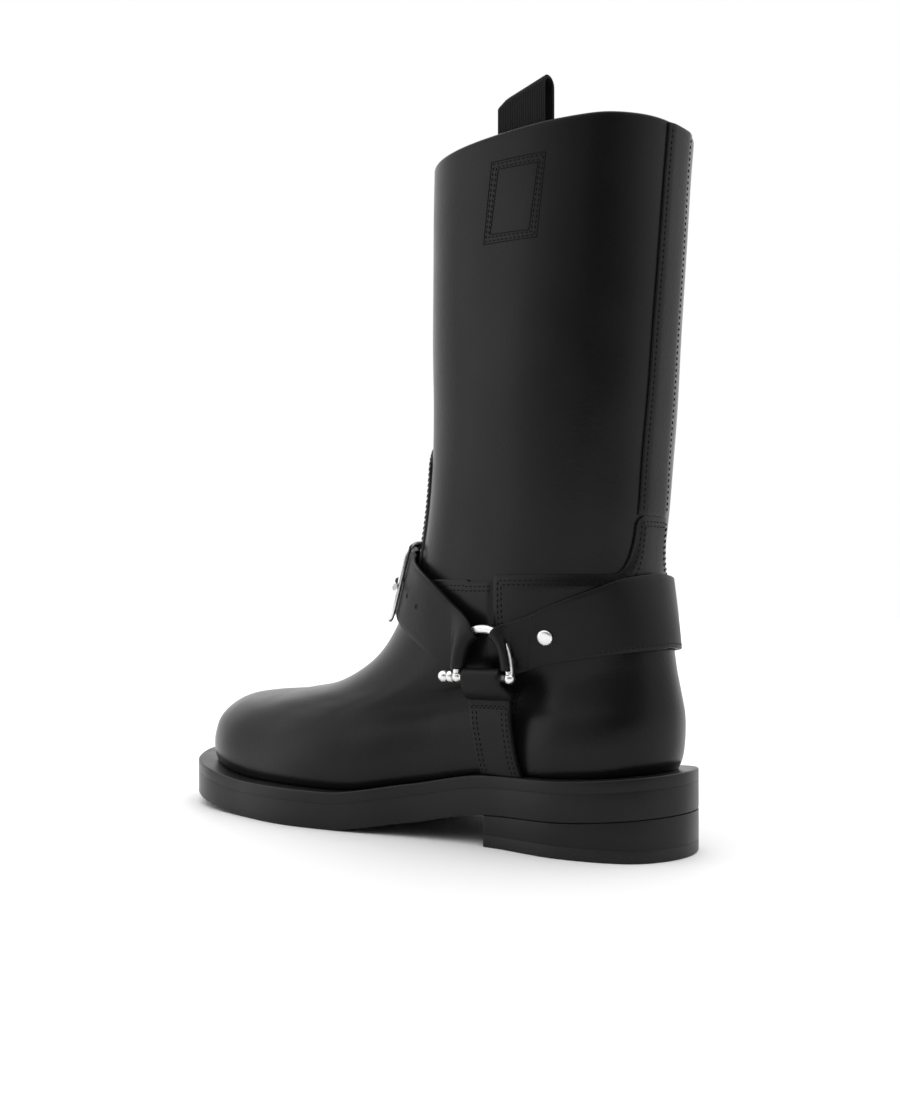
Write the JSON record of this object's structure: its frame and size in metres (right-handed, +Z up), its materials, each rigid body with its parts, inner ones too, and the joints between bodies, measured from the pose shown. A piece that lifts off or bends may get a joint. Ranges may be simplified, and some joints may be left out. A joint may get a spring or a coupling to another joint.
{
  "type": "buckle boot",
  "caption": "Tall black leather pull-on harness boot for the left foot, with strapped ankle, metal shackles, buckle, thick welted sole and low heel.",
  "frame": {"origin": "on the floor, at the middle of the box round the sole", "axes": "+Z up, toe towards -Y, +X to the wearer's left, which is the outer side"},
  "size_m": [0.1097, 0.2995, 0.3294],
  "materials": {
    "leather": "smooth black box leather, satin polish",
    "strap_leather": "smooth black harness leather with painted edges",
    "sole_edge": "smooth black edge dressing, low gloss",
    "rubber": "matt black rubber with a fine tread",
    "lining": "black lining leather",
    "webbing": "ribbed black tape",
    "metal": "polished nickel plate"
  },
  "bodies": {
    "root": {"outsole": "rubber", "midsole_welt": "sole_edge", "heel_block": "sole_edge", "heel_top_lift": "rubber", "insole": "lining", "upper": "leather", "vamp": "leather", "counter": "leather", "back_stay": "leather", "pull_loop": "webbing", "heel_strap": "strap_leather", "instep_strap_outer": "strap_leather", "instep_strap_inner": "strap_leather", "arch_strap_outer": "strap_leather", "arch_strap_inner": "strap_leather", "shackle_outer": "metal", "shackle_inner": "metal", "rivet_outer": "metal", "rivet_inner": "metal", "buckle_frame": "metal", "buckle_prong": "metal"}
  },
  "joints": []
}
